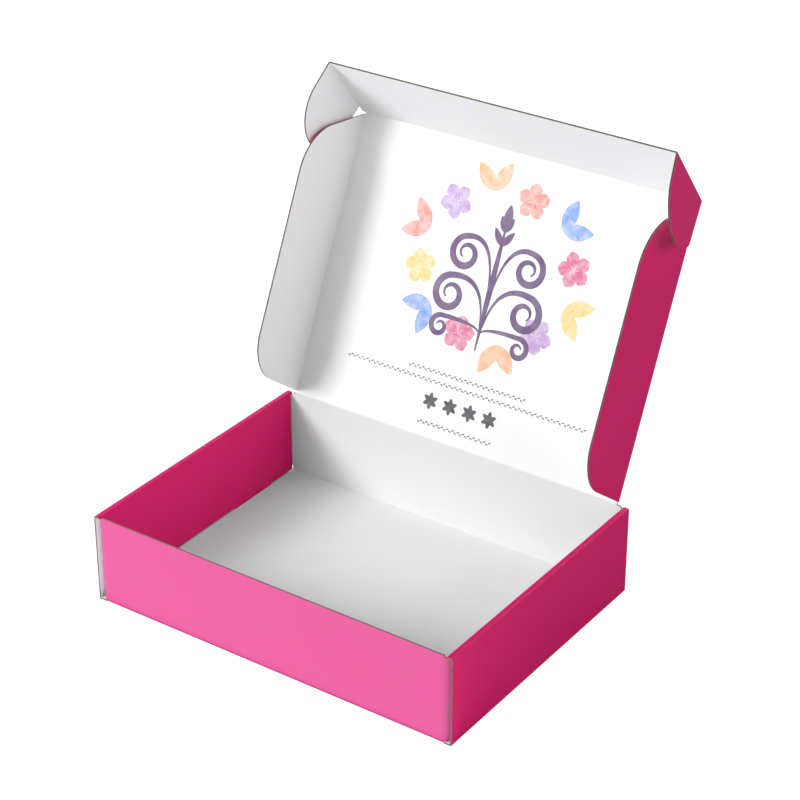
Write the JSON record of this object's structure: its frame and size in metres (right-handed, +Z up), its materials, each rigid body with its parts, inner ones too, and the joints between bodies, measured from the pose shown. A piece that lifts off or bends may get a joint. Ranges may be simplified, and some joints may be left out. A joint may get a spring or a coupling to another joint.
{
  "type": "corrugated mailer box",
  "caption": "Roll-end tuck-front mailer box of thin corrugated board, lid open, with dust flaps, tuck flap and locking ears.",
  "frame": {"origin": "middle of the tray's underside, on the surface that the box stands on", "axes": "+X to the box's right, +Y from the front wall to the lid's hinge, +Z up"},
  "size_m": [0.3075, 0.3134, 0.3187],
  "materials": {
    "corrugated_board": "pink printed outside, white inside, satin"
  },
  "bodies": {
    "tray": {"tray": "corrugated_board"},
    "lid": {"lid_panel": "corrugated_board"},
    "tuck": {"tuck_flap": "corrugated_board"},
    "left_flap": {"lid_left_flap": "corrugated_board"},
    "right_flap": {"lid_right_flap": "corrugated_board"},
    "left_ear": {"tuck_left_ear": "corrugated_board"},
    "right_ear": {"tuck_right_ear": "corrugated_board"}
  },
  "joints": [
    {"name": "lid_hinge", "type": "hinge", "parent": "tray", "child": "lid", "pos_m": [0, 0.1099, 0.0696], "axis": [-1, 0, 0], "range_deg": [-115.1, 64.9]},
    {"name": "tuck_hinge", "type": "hinge", "parent": "lid", "child": "tuck", "pos_m": [0, 0.20173, 0.26704], "axis": [-1, 0, 0], "range_deg": [-41.4, 23.35]},
    {"name": "left_flap_hinge", "type": "hinge", "parent": "lid", "child": "left_flap", "pos_m": [-0.1405, 0.10936, 0.06986], "axis": [0, 0.4242, 0.9056], "range_deg": [0, 80]},
    {"name": "right_flap_hinge", "type": "hinge", "parent": "lid", "child": "right_flap", "pos_m": [0.1405, 0.10936, 0.06986], "axis": [0, -0.4242, -0.9056], "range_deg": [0, 80]},
    {"name": "left_ear_hinge", "type": "hinge", "parent": "tuck", "child": "left_ear", "pos_m": [-0.1429, 0.20173, 0.26704], "axis": [0, 0.6211, -0.7837], "range_deg": [-2.5, 1.41]},
    {"name": "right_ear_hinge", "type": "hinge", "parent": "tuck", "child": "right_ear", "pos_m": [0.1429, 0.20173, 0.26704], "axis": [0, -0.6211, 0.7837], "range_deg": [-16.25, 9.16]}
  ],
  "couplings": [
    {"joint": "tuck_hinge", "follows": "lid_hinge", "ratio": 0.3597},
    {"joint": "left_ear_hinge", "follows": "lid_hinge", "ratio": 0.0217},
    {"joint": "right_ear_hinge", "follows": "lid_hinge", "ratio": 0.1412}
  ]
}
